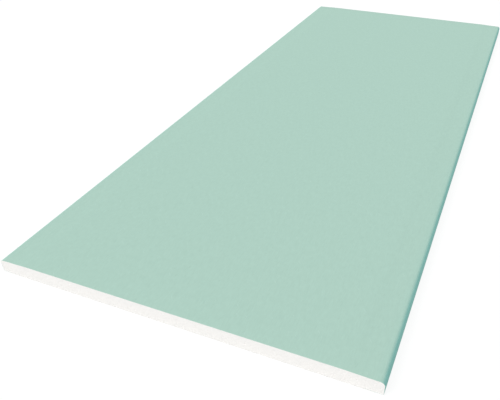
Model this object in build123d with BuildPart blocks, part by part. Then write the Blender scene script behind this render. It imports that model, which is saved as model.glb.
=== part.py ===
from build123d import *

import os

# Drywall sheet with a moisture-resistant green face: a gypsum core in a wrapped face paper and a
# back paper. It lies on its back. X runs across the width, Y along the length, Z through the
# thickness, and the origin is the middle of the underside. All sizes are in millimetres.

# The sheet
sheet_width = 625.0
sheet_length = 1500.0
sheet_thickness = 25.0
paper_thickness = 0.4

# The long edges: a taper for the jointing tape, which drops over a shoulder and then falls gently,
# then a rounding over onto an upright side. Depths are below the face.
taper_width = 50.0
taper_depth = 1.2
shoulder_width = 12.0
shoulder_depth = 0.6
shoulder_blend_radius = 150.0
face_corner_radius = 7.0
back_corner_radius = 1.2

# The fold on the back: the face paper turns under, and the back paper is glued over its laps
lap_width = 26.0
back_paper_inset = 11.0

side_x = sheet_width / 2
shoulder_top_x = side_x - taper_width
shoulder_foot_x = shoulder_top_x + shoulder_width
lap_level = paper_thickness
edge_level = sheet_thickness - taper_depth
shoulder_level = sheet_thickness - shoulder_depth
core_foot_width = sheet_width - 2 * lap_width

# Corners of the right half of the sheet's outline, from the fold at the back to the top of the
# shoulder, and the rounding of each. The left half is its mirror image.
right_corners = [
    (side_x, lap_level),
    (side_x, edge_level),
    (shoulder_foot_x, shoulder_level),
    (shoulder_top_x, sheet_thickness),
]
right_radii = [
    back_corner_radius,
    face_corner_radius,
    shoulder_blend_radius,
    shoulder_blend_radius,
]
left_corners = [(-x, z) for x, z in reversed(right_corners)]
left_radii = right_radii[::-1]

# Outline of the wrapped sheet, across its width: the outside of the face paper all the way round,
# closed along the underside of the laps
with BuildSketch(Plane.XZ) as wrapped_section:
    with BuildLine():
        FilletPolyline(
            *right_corners, *left_corners, radius=right_radii + left_radii, close=True
        )
    make_face()

# Section of the core: one paper thickness inside that outline, so the laps lie in shallow rebates,
# with a foot between the laps that comes down level with them onto the back paper.
with BuildSketch(Plane.XZ) as core_section:
    add(wrapped_section.sketch_local)
    offset(amount=-paper_thickness, mode=Mode.REPLACE)
    with Locations((0, lap_level)):
        Rectangle(core_foot_width, 2 * paper_thickness, align=(Align.CENTER, Align.MIN))

# Gypsum core, with its two short ends sawn square
with BuildPart() as gypsum_core:
    extrude(core_section.sketch, amount=sheet_length / 2, both=True)

# Face paper: one web over the face, down both tapers, round the edges and under as the two laps
with BuildPart() as face_paper:
    extrude(wrapped_section.sketch, amount=sheet_length / 2, both=True)
    extrude(core_section.sketch, amount=sheet_length / 2, both=True, mode=Mode.SUBTRACT)

# Back paper: a flat web that stops short of both long edges and covers the ends of the laps
with BuildPart() as back_paper:
    with BuildSketch(Plane.XY):
        Rectangle(sheet_width - 2 * back_paper_inset, sheet_length)
    extrude(amount=paper_thickness)

gypsum_core.part.label = "gypsum_core"
face_paper.part.label = "face_paper"
back_paper.part.label = "back_paper"

os.makedirs("parts", exist_ok=True)
export_step(gypsum_core.part, "parts/gypsum_core.step")
export_step(face_paper.part, "parts/face_paper.step")
export_step(back_paper.part, "parts/back_paper.step")
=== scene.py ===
"""Looks of a moisture-resistant drywall sheet that lies on its back, in the frame of its CAD model.

X runs across the sheet, Y along it and Z through its thickness, in metres. The sheet is a gypsum core
between two papers. Each paper is a web: a line across the sheet, carried from one cut end to the
other. The core is two cut faces, each a grid between its lower and its upper outline, joined by walls.
"""
import math

import bpy
import numpy as np

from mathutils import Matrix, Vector


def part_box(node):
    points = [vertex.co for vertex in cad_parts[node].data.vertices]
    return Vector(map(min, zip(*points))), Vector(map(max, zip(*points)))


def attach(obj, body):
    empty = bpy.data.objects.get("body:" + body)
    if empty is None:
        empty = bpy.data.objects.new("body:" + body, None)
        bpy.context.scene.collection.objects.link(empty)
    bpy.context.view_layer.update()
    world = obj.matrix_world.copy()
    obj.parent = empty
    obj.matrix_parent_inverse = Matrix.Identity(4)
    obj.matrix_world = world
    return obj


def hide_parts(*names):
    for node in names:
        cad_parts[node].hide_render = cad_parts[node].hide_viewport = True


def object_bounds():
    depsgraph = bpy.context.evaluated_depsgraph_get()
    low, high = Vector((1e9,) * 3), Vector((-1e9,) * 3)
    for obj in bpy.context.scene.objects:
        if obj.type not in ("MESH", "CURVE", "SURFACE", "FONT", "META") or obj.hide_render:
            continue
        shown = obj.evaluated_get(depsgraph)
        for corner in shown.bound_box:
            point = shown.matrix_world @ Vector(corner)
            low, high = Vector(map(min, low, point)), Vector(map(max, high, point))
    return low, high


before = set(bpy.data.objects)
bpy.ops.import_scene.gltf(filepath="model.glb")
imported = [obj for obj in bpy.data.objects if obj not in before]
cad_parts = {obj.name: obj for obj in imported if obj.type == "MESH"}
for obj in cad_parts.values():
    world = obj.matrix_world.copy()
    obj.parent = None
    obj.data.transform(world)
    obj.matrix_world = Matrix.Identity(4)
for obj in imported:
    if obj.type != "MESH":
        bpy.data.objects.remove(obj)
cad_low, cad_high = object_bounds()

MM = 0.001

# Sizes taken from the frame
half_width = cad_high.x
half_length = cad_high.y
face_level = cad_high.z
back_paper_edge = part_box("back_paper")[1].x
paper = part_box("back_paper")[1].z

# Sizes of the long edges. Half of the taper's depth is dropped over a soft shoulder.
taper_width = 50 * MM
taper_depth = 1.2 * MM
shoulder_width = 12 * MM
shoulder_depth = 0.6 * MM
shoulder_blend_radius = 150 * MM
face_corner_radius = 7 * MM
back_corner_radius = 1.2 * MM
lap_width = 26 * MM
lap_end = half_width - lap_width
edge_level = face_level - taper_depth

# Spacing of the papers' points across the sheet, and the number of their stations along it: in the
# reach of each cut end, and from one reach to the other
web_step = 1.5 * MM
stations_at_end = 4
stations_between = 40

# Points of each rounded corner of an outline, with the two where it starts and ends
arc_points = 14

# Edges that turn by more than this, in degrees, are drawn sharp
crease = 40

# Marks that the cutting leaves at the two ends: the saw presses both skins in over a short reach, and
# leaves the papers' edges slightly uneven
press_depth = 0.12 * MM
press_reach = 1.5 * MM
fray_depth = 0.1 * MM
fray_length = 4 * MM

# Shape of the cut gypsum: the mesh's step, how far it lies back from the cut, and the saw's waves
grain_step = 0.62 * MM
core_recess = 0.05 * MM
saw_wave = 9 * MM
saw_depth = 0.12 * MM
cut_seed = 20

# The larger air pores: their spacing, their radii, the share of places that have one, and the depth of
# the largest. They start one dense_skin under the papers and are full another one further in.
pore_spacing = 3.6 * MM
pore_smallest = 0.5 * MM
pore_largest = 1.2 * MM
pore_share = 0.55
pore_sink = 0.6 * MM
dense_skin = 0.8 * MM

# Width of the slope that stands for each upright side of the core's rebates
rebate_slope = 0.01 * MM

# Heights and normals nearer to each other than this count as the same
same = 1e-9

# Random values repeat after this many cells, each way
lattice = 256

# Tone of the papers: bundles of fibre along the web, weighed by bundle_share, and clouds of the pulp.
# Real fibres are 0.03 mm by 2 mm, and the bundles are drawn about 1.8 mm by 14 mm so that they show.
# The paper is darkest where the tone is dark_tone or less, and palest from pale_tone on.
cloud_size = 8 * MM
bundle_width = 1.8 * MM
bundle_stretch = 8
bundle_share = 0.7
bundle_relief = 0.05 * MM
dark_tone, pale_tone = 0.35, 0.65

# Single fibres of three kinds, each with its lean from the web in degrees and its spacing. They bend a
# little, and are drawn coarser than real ones too, up to 0.6 mm by 8 mm. A fibre starts to show at
# fibre_rim of the spacing from its middle, and is full at fibre_middle.
fibre_leans = (7, -24, 41)
fibre_spacings = (2.6 * MM, 3.4 * MM, 4.3 * MM)
fibre_stretch = 14
fibre_rim, fibre_middle = 0.1, 0.04
fibre_bend = 1 * MM
fibre_bend_length = 4 * MM

# The photograph shows the wrapped sides in a deeper tint, and it is painted here as shade: a deeper,
# cooler colour on the sides that stands in for the dimmer, cooler light on them. It starts at the
# first of these heights, where the face rolls over, and is full at the second.
side_shade_starts = edge_level + 0.25 * MM
side_shade_full = edge_level - 0.3 * face_corner_radius

# Shares of the paper's depth between which its outer ply ends
ply_fades, ply_ends = 0.2, 0.35

# The gypsum's mottling, and its pores that are too small for the mesh: ones up to 0.5 mm across, and
# ones up to 1 mm. The finest real ones are about 0.1 mm and are drawn coarser so that they show. Each
# kind has its spacing, and the shares of it from a pore's middle at which the hollow starts and is
# deepest. The relief is a share of the spacing too, and the hollows are darkened as painted shade.
mottle_size = 12 * MM
small_pores = ((0.7 * MM, 0.38, 0.15), (2.3 * MM, 0.23, 0.1))
small_pore_relief = 0.15

# The view: the eye's place, the way it looks in degrees, and the lens and sensor in millimetres, with
# a shift that allows for the photograph's crop
eye = (0.3617, -1.1807, 0.5916)
looks_left = 22.018
looks_down = 37.415
lens = 39.227
sensor_width = 36.0
lens_shift = (-0.085, 0.05)

# The studio. The floor as it is seen is partly its own glow, so that it is white and its shadow faint.
surround_strength = 0.61
lamp_strength = 1.66
lamp_spread = 35
towards_lamp = (-0.45, -0.55, 0.704)
floor_reach = 30.0
floor_gap = 0.2 * MM
floor_paint = "#E6E6E6"
floor_shade = 0.13
floor_glow = 0.895

# A Mix node has several sockets called A, B and Result, so they go by number
first_value, second_value = 2, 3
first_colour, second_colour, mixed_colour = 6, 7, 2


def lattice_noise(u, v, cell, seed):
    """Smooth noise from -1 to 1 at each (u, v).

    Every corner of a lattice of square cells has a random value. Inside a cell the four are blended
    with the weight 3t^2 - 2t^3 of the distance across it, both ways.
    """
    table = np.random.default_rng(seed).uniform(-1, 1, (lattice, lattice))
    column, row = np.floor(u / cell).astype(int), np.floor(v / cell).astype(int)
    across, up = u / cell - column, v / cell - row
    across, up = across**2 * (3 - 2 * across), up**2 * (3 - 2 * up)

    def corner(right, above):
        return table[(column + right) % lattice, (row + above) % lattice]

    lower = corner(0, 0) * (1 - across) + corner(1, 0) * across
    upper = corner(0, 1) * (1 - across) + corner(1, 1) * across
    return lower * (1 - up) + upper * up


def pores(u, v, cell, smallest, largest, share, seed):
    """Depth of round air pores at each (u, v), as a share of the largest one's radius.

    Each cell of a square lattice holds one ball, placed and sized at random, or none. A point d from
    the middle of a ball of radius r lies at depth sqrt(r^2 - d^2), and the deepest ball counts.
    """
    chance = np.random.default_rng(seed)
    middle_u, middle_v, size, keep = chance.uniform(0, 1, (4, lattice, lattice))
    radius = np.where(keep < share, smallest + (largest - smallest) * size**2, 0)
    column, row = np.floor(u / cell).astype(int), np.floor(v / cell).astype(int)
    depth = np.zeros(np.shape(u))
    for i in (-1, 0, 1):
        for j in (-1, 0, 1):
            near = (column + i) % lattice, (row + j) % lattice
            away_u = (column + i + middle_u[near]) * cell - u
            away_v = (row + j + middle_v[near]) * cell - v
            inside = radius[near] ** 2 - away_u**2 - away_v**2
            depth = np.maximum(depth, np.sqrt(np.maximum(inside, 0)))
    return depth / largest


def straight(start, end, step):
    """The points between start and end, without the two, evenly spaced by about one step."""
    count = max(1, round(float(np.linalg.norm(end - start)) / step))
    return start + (end - start) * (np.arange(1, count) / count)[:, None]


def rounded_path(corners, radii, step):
    """Points along a polyline with rounded corners, and the unit normal on its left at each.

    A corner that turns by a, with radius r, becomes an arc that starts r tan(a / 2) before it. The
    arc's centre is r to the side that the path turns to, and its normals are the start's normal
    turned evenly by 0 to a. Straight stretches are divided into lengths of about one step.
    """
    corners = np.array(corners)
    heading = np.diff(corners, axis=0)
    heading /= np.linalg.norm(heading, axis=1)[:, None]
    left = np.stack([-heading[:, 1], heading[:, 0]], axis=1)
    points, normals = [corners[:1]], [left[:1]]
    for corner, radius, before, after, side in zip(
        corners[1:-1], radii, heading[:-1], heading[1:], left[:-1]
    ):
        turn = math.atan2(before[0] * after[1] - before[1] * after[0], before @ after)
        start = corner - before * radius * math.tan(abs(turn) / 2)
        towards = math.copysign(radius, turn)
        angle = np.linspace(0, turn, arc_points)[:, None]
        arc_normals = side * np.cos(angle) - before * np.sin(angle)
        arc = start + side * towards - arc_normals * towards
        points += [straight(points[-1][-1], start, step), arc]
        normals += [np.repeat(side[None], len(points[-2]), axis=0), arc_normals]
    points += [straight(points[-1][-1], corners[-1], step), corners[-1:]]
    normals += [np.repeat(left[-1:], len(points[-2]) + 1, axis=0)]
    return np.concatenate(points), np.concatenate(normals)


def wrapped_outline(step):
    """The outside of the face paper across the sheet, from the end of one lap to that of the other.

    It runs clockwise in (x, z), so the normals on its left point outwards.
    """
    shoulder_top = half_width - taper_width
    right = [
        (shoulder_top, face_level),
        (shoulder_top + shoulder_width, face_level - shoulder_depth),
        (half_width, edge_level),
        (half_width, paper),
        (lap_end, paper),
    ]
    radii = [
        shoulder_blend_radius,
        shoulder_blend_radius,
        face_corner_radius,
        back_corner_radius,
    ]
    left = [(-x, z) for x, z in reversed(right)]
    return rounded_path(left + right, radii[::-1] + radii, step)


def make_piece(name, points, faces, material):
    """A mesh object from an array of points and an array of four corner numbers for each face."""
    mesh = bpy.data.meshes.new(name)
    mesh.vertices.add(len(points))
    mesh.vertices.foreach_set("co", points.astype(np.float32).ravel())
    mesh.loops.add(faces.size)
    mesh.loops.foreach_set("vertex_index", faces.astype(np.int32).ravel())
    mesh.polygons.add(len(faces))
    mesh.polygons.foreach_set("loop_start", np.arange(0, faces.size, 4, dtype=np.int32))
    mesh.polygons.foreach_set("use_smooth", np.ones(len(faces), dtype=bool))
    mesh.update(calc_edges=True)
    mesh.validate()
    mesh.set_sharp_from_angle(angle=math.radians(crease))
    mesh.materials.append(material)
    piece = bpy.data.objects.new(name, mesh)
    bpy.context.scene.collection.objects.link(piece)
    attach(piece, "root")
    return piece


def grid_faces(numbers):
    """Four corner numbers for each cell of a two-way table of point numbers, anticlockwise seen with
    the table's rows going up and its columns going right."""
    return np.stack(
        [numbers[:-1, :-1], numbers[:-1, 1:], numbers[1:, 1:], numbers[1:, :-1]], axis=-1
    ).reshape(-1, 4)


def stations(reach, near, middle):
    """Places along the sheet: close together within reach of each cut end, and even between."""
    from_end = reach * np.linspace(0, 1, near)
    between = np.linspace(reach - half_length, half_length - reach, middle)[1:-1]
    return np.concatenate([from_end - half_length, between, half_length - from_end[::-1]])


def pressed(distance_from_end):
    """How far the saw pressed the skins in: press_depth at the cut, falling evenly to nothing."""
    return press_depth * np.clip(1 - distance_from_end / press_reach, 0, 1)


def paper_web(name, line, normals, material, seed):
    """A web of paper: the line is its outside across the sheet, with its outward normals.

    Outside and inside are both the line at every station along the sheet, the inside one paper
    thickness in along the normal. Where the saw pressed, a point moves up or down by the pressed
    depth times its normal's height. The two cut edges lie back along Y by a smooth noise. The
    attribute "depth" is 0 outside and 1 inside.
    """
    along = stations(press_reach, stations_at_end, stations_between)
    distance = np.concatenate([[0], np.cumsum(np.linalg.norm(np.diff(line, axis=0), axis=1))])
    ring = np.concatenate([line, (line - paper * normals)[::-1]])
    ring_normals = np.concatenate([normals, normals[::-1]])
    ring_distance = np.concatenate([distance, distance[::-1]])

    x, y = np.meshgrid(ring[:, 0], along)
    from_end = half_length - np.abs(y)
    z = ring[:, 1] - pressed(from_end) * ring_normals[:, 1]
    uneven = 0.5 + 0.5 * lattice_noise(ring_distance, np.sign(y), fray_length, seed)
    y = y - np.sign(y) * fray_depth * uneven * np.clip(1 - from_end / press_reach, 0, 1)
    points = np.stack([x, y, z], axis=-1).reshape(-1, 3)

    numbers = np.arange(len(points)).reshape(len(along), len(ring))
    round_ring = np.concatenate([numbers, numbers[:, :1]], axis=1)
    outside, inside = numbers[:, : len(line)], numbers[:, len(line) :][:, ::-1]
    near_edge = np.stack([inside[0], outside[0]])
    far_edge = np.stack([outside[-1], inside[-1]])
    faces = np.concatenate([grid_faces(round_ring), grid_faces(near_edge), grid_faces(far_edge)])
    piece = make_piece(name, points, faces, material)
    is_inside = np.tile(np.arange(len(ring)) >= len(line), len(along))
    depth = piece.data.attributes.new("depth", "FLOAT", "POINT")
    depth.data.foreach_set("value", is_inside.astype(np.float32))
    return piece


def core_piece(name, material):
    """The gypsum core: two cut faces joined by walls.

    Each cut face is a grid. Its columns stand at places x across the sheet, and each runs from the
    lower outline z0(x) to the upper outline z1(x) as z0 + v (z1 - z0). The face lies back from the
    cut by the depth of the saw's waves and of the pores, and the saw pressed it in at both skins.
    """
    line, normals = wrapped_outline(grain_step)
    inner = line - paper * normals
    upright = np.abs(normals[:, 1]) < same
    upper = inner[inner[:, 1] >= inner[upright, 1].max() - same]
    lower = inner[inner[:, 1] <= inner[upright, 1].min() + same]
    lower = lower[np.argsort(lower[:, 0], kind="stable")]

    either_side = np.array([-1, 1, -1, 1]) * (rebate_slope / 2)
    rebate_sides = lap_end * np.array([-1, -1, 1, 1]) + either_side
    across = np.sort(np.concatenate([upper[:, 0], rebate_sides]))
    top = np.interp(across, upper[:, 0], upper[:, 1])
    bottom = np.interp(across, lower[:, 0], lower[:, 1])
    bottom = np.where(np.abs(across) < lap_end, paper, bottom)

    x, v = np.meshgrid(across, np.linspace(0, 1, round((face_level - paper) / grain_step)))
    z = bottom + v * (top - bottom)
    under_skin = np.minimum(np.minimum(z - bottom, top - z), across[-1] - np.abs(x))
    airy = np.clip(under_skin / dense_skin - 1, 0, 1)

    def cut_face(end):
        """The points of the cut face at the near end, -1, or the far end, 1."""
        seed = cut_seed + end
        waves = 0.5 + 0.5 * lattice_noise(x, z, saw_wave, seed)
        holes = airy * pores(x, z, pore_spacing, pore_smallest, pore_largest, pore_share, seed)
        back = core_recess + saw_depth * waves + pore_sink * holes
        squeezed = z - press_depth * (2 * v - 1)
        return np.stack([x, end * (half_length - back), squeezed], axis=-1).reshape(-1, 3)

    numbers = np.arange(x.size).reshape(x.shape)
    rim = np.concatenate([numbers[0, :-1], numbers[:-1, -1], numbers[-1, :0:-1], numbers[:0:-1, 0]])
    near_rim = np.stack(
        [x.ravel()[rim], np.full(len(rim), press_reach - half_length), z.ravel()[rim]], axis=-1
    )
    far_rim = near_rim * (1, -1, 1)
    points = np.concatenate([cut_face(-1), cut_face(1), near_rim, far_rim])

    near_wall = 2 * x.size + np.arange(len(rim))
    walls = np.stack([rim + x.size, near_wall + len(rim), near_wall, rim])
    walls = np.concatenate([walls, walls[:, :1]], axis=1)
    faces = [grid_faces(numbers), grid_faces(numbers[:, ::-1] + x.size), grid_faces(walls)]
    return make_piece(name, points, np.concatenate(faces), material)


def linear(hex_colour):
    """The linear colour of an sRGB hex value, with full alpha."""
    shares = [int(hex_colour[i : i + 2], 16) / 255 for i in (1, 3, 5)]
    return [s / 12.92 if s <= 0.04045 else ((s + 0.055) / 1.055) ** 2.4 for s in shares] + [1.0]


def add(tree, kind, inputs=None, **settings):
    """Adds a node to a tree. Settings are its own, and an input is a value or a socket to link."""
    node = tree.nodes.new(kind)
    for name, value in settings.items():
        setattr(node, name, value)
    for name, value in (inputs or {}).items():
        if isinstance(value, bpy.types.NodeSocket):
            tree.links.new(value, node.inputs[name])
        else:
            node.inputs[name].default_value = value
    return node


def new_material(name):
    """An empty material with its node tree and its shader."""
    material = bpy.data.materials.new(name)
    material.use_nodes = True
    return material, material.node_tree, material.node_tree.nodes["Principled BSDF"]


def board_liner(name, pale, dark, side_shade_pale, side_shade_dark, undyed, overdyed, raw_fibre):
    """Board liner: several plies of paper fibre, rolled smooth but not coated.

    To the eye it is matt, faintly cloudy where the pulp lay thicker, and faintly streaked along the
    web, because the fibres lie mostly that way. Close up, single fibres stand out. Only the outer ply
    has the paper's colour, so a cut edge shows pale fibre with gypsum dust in it. The upright sides
    can get painted shade: a deeper, cooler tint that stands in for the dimmer light on them.
    """
    material, tree, shader = new_material(name)
    place = add(tree, "ShaderNodeTexCoord").outputs["Object"]

    # The tone, from clouds and bundles
    cloud = add(tree, "ShaderNodeTexNoise", {"Vector": place, "Scale": 1 / cloud_size, "Detail": 2.0})
    drawn_out = add(tree, "ShaderNodeMapping", {"Vector": place, "Scale": (1, 1 / bundle_stretch, 1)})
    streak = add(
        tree,
        "ShaderNodeTexNoise",
        {"Vector": drawn_out.outputs[0], "Scale": 1 / bundle_width, "Detail": 5.0, "Roughness": 0.65},
    )
    tone = add(
        tree,
        "ShaderNodeMix",
        {
            "Factor": bundle_share,
            first_value: cloud.outputs["Fac"],
            second_value: streak.outputs["Fac"],
        },
    )
    spread = add(
        tree,
        "ShaderNodeMapRange",
        {"Value": tone.outputs[0], "From Min": dark_tone, "From Max": pale_tone},
    )

    # The colour of the flat paper, and the painted shade on the upright sides, mixed in by height
    height = add(tree, "ShaderNodeSeparateXYZ", {"Vector": place}).outputs["Z"]
    side = add(
        tree,
        "ShaderNodeMapRange",
        {"Value": height, "From Min": side_shade_starts, "From Max": side_shade_full},
    )
    flat = add(
        tree,
        "ShaderNodeMix",
        {"Factor": spread.outputs[0], first_colour: linear(dark), second_colour: linear(pale)},
        data_type="RGBA",
    )
    side_shade_colour = add(
        tree,
        "ShaderNodeMix",
        {"Factor": spread.outputs[0], first_colour: linear(side_shade_dark), second_colour: linear(side_shade_pale)},
        data_type="RGBA",
    )
    with_side_shade = add(
        tree,
        "ShaderNodeMix",
        {
            "Factor": side.outputs[0],
            first_colour: flat.outputs[mixed_colour],
            second_colour: side_shade_colour.outputs[mixed_colour],
        },
        data_type="RGBA",
    )

    # Single fibres, some paler than the rest and some darker
    wander = add(
        tree, "ShaderNodeTexNoise", {"Vector": place, "Scale": 1 / fibre_bend_length, "Detail": 1.0}
    )
    bent = add(
        tree,
        "ShaderNodeVectorMath",
        {0: wander.outputs["Color"], 1: (fibre_bend, fibre_bend, fibre_bend), 2: place},
        operation="MULTIPLY_ADD",
    )
    fibred = with_side_shade
    for lean, spacing, tint in zip(fibre_leans, fibre_spacings, (undyed, overdyed, undyed)):
        turned = add(
            tree,
            "ShaderNodeMapping",
            {
                "Vector": bent.outputs[0],
                "Rotation": (0, 0, math.radians(lean)),
                "Scale": (1, fibre_stretch, 1),
            },
            vector_type="TEXTURE",
        )
        lone = add(tree, "ShaderNodeTexVoronoi", {"Vector": turned.outputs[0], "Scale": 1 / spacing})
        here = add(
            tree,
            "ShaderNodeMapRange",
            {"Value": lone.outputs["Distance"], "From Min": fibre_rim, "From Max": fibre_middle},
        )
        fibred = add(
            tree,
            "ShaderNodeMix",
            {
                "Factor": here.outputs[0],
                first_colour: fibred.outputs[mixed_colour],
                second_colour: linear(tint),
            },
            data_type="RGBA",
        )

    # The plies under the outer one, which a cut lays bare
    depth = add(tree, "ShaderNodeAttribute", attribute_name="depth").outputs["Fac"]
    inner_ply = add(
        tree, "ShaderNodeMapRange", {"Value": depth, "From Min": ply_fades, "From Max": ply_ends}
    )
    plied = add(
        tree,
        "ShaderNodeMix",
        {
            "Factor": inner_ply.outputs[0],
            first_colour: fibred.outputs[mixed_colour],
            second_colour: linear(raw_fibre),
        },
        data_type="RGBA",
    )
    relief = add(
        tree,
        "ShaderNodeBump",
        {"Height": streak.outputs["Fac"], "Strength": 0.4, "Distance": bundle_relief},
    )
    tree.links.new(plied.outputs[mixed_colour], shader.inputs["Base Color"])
    tree.links.new(relief.outputs[0], shader.inputs["Normal"])
    shader.inputs["Roughness"].default_value = 0.9
    shader.inputs["IOR"].default_value = 1.45
    shader.inputs["Specular IOR Level"].default_value = 0.3
    return material


def sawn_gypsum(pale, dark, pore_shade):
    """Set gypsum, foamed with fine air pores and sawn across.

    To the eye it is near white and dead matt, a little warm, and speckled by its pores. A pore is
    about as deep as it is wide, so less light comes out of it, and that shade is painted into the
    colour.
    """
    material, tree, shader = new_material("sawn_gypsum")
    place = add(tree, "ShaderNodeTexCoord").outputs["Object"]
    mottle = add(tree, "ShaderNodeTexNoise", {"Vector": place, "Scale": 1 / mottle_size, "Detail": 4.0})
    plaster = add(
        tree,
        "ShaderNodeMix",
        {"Factor": mottle.outputs["Fac"], first_colour: linear(dark), second_colour: linear(pale)},
        data_type="RGBA",
    )
    surface = None
    for spacing, rim, deepest in small_pores:
        bubble = add(tree, "ShaderNodeTexVoronoi", {"Vector": place, "Scale": 1 / spacing})
        distance = bubble.outputs["Distance"]
        hollow = add(
            tree, "ShaderNodeMapRange", {"Value": distance, "From Min": rim, "From Max": deepest}
        )
        # Painted shade: the colour darkens in the fine pores' hollows, standing in for the shade inside
        # them
        plaster = add(
            tree,
            "ShaderNodeMix",
            {
                "Factor": hollow.outputs[0],
                first_colour: plaster.outputs[mixed_colour],
                second_colour: linear(pore_shade),
            },
            data_type="RGBA",
        )
        relief = {
            "Height": hollow.outputs[0],
            "Strength": 0.5,
            "Distance": small_pore_relief * spacing,
        }
        if surface:
            relief["Normal"] = surface
        surface = add(tree, "ShaderNodeBump", relief, invert=True).outputs[0]
    tree.links.new(plaster.outputs[mixed_colour], shader.inputs["Base Color"])
    tree.links.new(surface, shader.inputs["Normal"])
    shader.inputs["Roughness"].default_value = 0.95
    shader.inputs["IOR"].default_value = 1.5
    return material


def seen(tree):
    """1 for what the camera, a reflection or a view through glass sees, and 0 for light itself."""
    ray = add(tree, "ShaderNodeLightPath").outputs
    camera_or_glossy = add(
        tree,
        "ShaderNodeMath",
        {0: ray["Is Camera Ray"], 1: ray["Is Glossy Ray"]},
        operation="MAXIMUM",
    )
    return add(
        tree,
        "ShaderNodeMath",
        {0: camera_or_glossy.outputs[0], 1: ray["Is Transmission Ray"]},
        operation="MAXIMUM",
    ).outputs[0]


def studio_floor():
    """A wide pale floor. It lights the object as plain pale paint does, and is seen as white paper
    that keeps a faint shadow: part of what is seen is its own glow."""
    material, tree, shader = new_material("pale_floor")
    output = tree.nodes["Material Output"]
    shader.inputs["Base Color"].default_value = linear(floor_paint)
    shader.inputs["Roughness"].default_value = 1.0
    shader.inputs["Specular IOR Level"].default_value = 0.0
    shaded = add(tree, "ShaderNodeBsdfDiffuse", {"Color": (floor_shade, floor_shade, floor_shade, 1)})
    glow = add(tree, "ShaderNodeEmission", {"Strength": floor_glow})
    paper_white = add(tree, "ShaderNodeAddShader", {0: shaded.outputs[0], 1: glow.outputs[0]})
    shown = add(
        tree,
        "ShaderNodeMixShader",
        {0: seen(tree), 1: shader.outputs[0], 2: paper_white.outputs[0]},
    )
    tree.links.new(shown.outputs[0], output.inputs["Surface"])

    mesh = bpy.data.meshes.new("floor")
    x, y = np.meshgrid([-floor_reach, floor_reach], [-floor_reach, floor_reach])
    corners = np.stack([x, y, np.full((2, 2), -floor_gap)], axis=-1).reshape(-1, 3)
    mesh.from_pydata(corners.tolist(), [], [(0, 1, 3, 2)])
    mesh.materials.append(material)
    floor = bpy.data.objects.new("floor", mesh)
    bpy.context.scene.collection.objects.link(floor)


def studio_light():
    """An even white surround, seen as plain white, and one broad soft lamp from the front left."""
    world = bpy.data.worlds.new("studio")
    world.use_nodes = True
    bpy.context.scene.world = world
    tree = world.node_tree
    tree.nodes.clear()
    white = (1, 1, 1, 1)
    light = add(tree, "ShaderNodeBackground", {"Color": white, "Strength": surround_strength})
    shown = add(tree, "ShaderNodeBackground", {"Color": white, "Strength": 1.0})
    either = add(tree, "ShaderNodeMixShader", {0: seen(tree), 1: light.outputs[0], 2: shown.outputs[0]})
    output = add(tree, "ShaderNodeOutputWorld")
    tree.links.new(either.outputs[0], output.inputs["Surface"])

    lamp = bpy.data.lights.new("soft_lamp", "SUN")
    lamp.energy = lamp_strength
    lamp.angle = math.radians(lamp_spread)
    placed = bpy.data.objects.new("soft_lamp", lamp)
    placed.rotation_mode = "QUATERNION"
    placed.rotation_quaternion = Vector(towards_lamp).to_track_quat("Z", "Y")
    bpy.context.scene.collection.objects.link(placed)


def camera():
    """The photograph's view: level, from the front right and above, looking along the sheet."""
    data = bpy.data.cameras.new("camera")
    data.sensor_width = sensor_width
    data.lens = lens
    data.shift_x, data.shift_y = lens_shift
    seen_from = bpy.data.objects.new("camera", data)
    seen_from.location = eye
    seen_from.rotation_euler = (math.radians(90 - looks_down), 0, math.radians(looks_left))
    bpy.context.scene.collection.objects.link(seen_from)
    bpy.context.scene.camera = seen_from


camera()
studio_light()
studio_floor()

face_liner = board_liner(
    "green_face_liner",
    pale="#B3D4C7",
    dark="#ADCEC1",
    # The side colours are painted shade: a deeper, cooler teal for the dimmer light on the wrapped sides
    side_shade_pale="#93D0C7",
    side_shade_dark="#8DCAC1",
    undyed="#BDDBD0",
    overdyed="#A4C5B7",
    raw_fibre="#E8E9E4",
)
back_liner = board_liner(
    "plain_back_liner",
    pale="#C1C3B7",
    dark="#B1B3A6",
    side_shade_pale="#C1C3B7",
    side_shade_dark="#B1B3A6",
    undyed="#D0D1C6",
    overdyed="#96988B",
    raw_fibre="#ECECE6",
)

outline, outward = wrapped_outline(web_step)
face = paper_web("face_paper_web", outline, outward, face_liner, seed=3)
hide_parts("face_paper")

underside, downward = rounded_path([(back_paper_edge, 0.0), (-back_paper_edge, 0.0)], [], web_step)
back = paper_web("back_paper_web", underside, downward, back_liner, seed=5)
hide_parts("back_paper")

# The third colour is painted shade inside the fine pores
gypsum = sawn_gypsum(pale="#FBF9F6", dark="#F5F4F2", pore_shade="#EFEDE9")
core = core_piece("cut_gypsum_core", gypsum)
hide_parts("gypsum_core")

bpy.context.scene.view_settings.view_transform = "Standard"
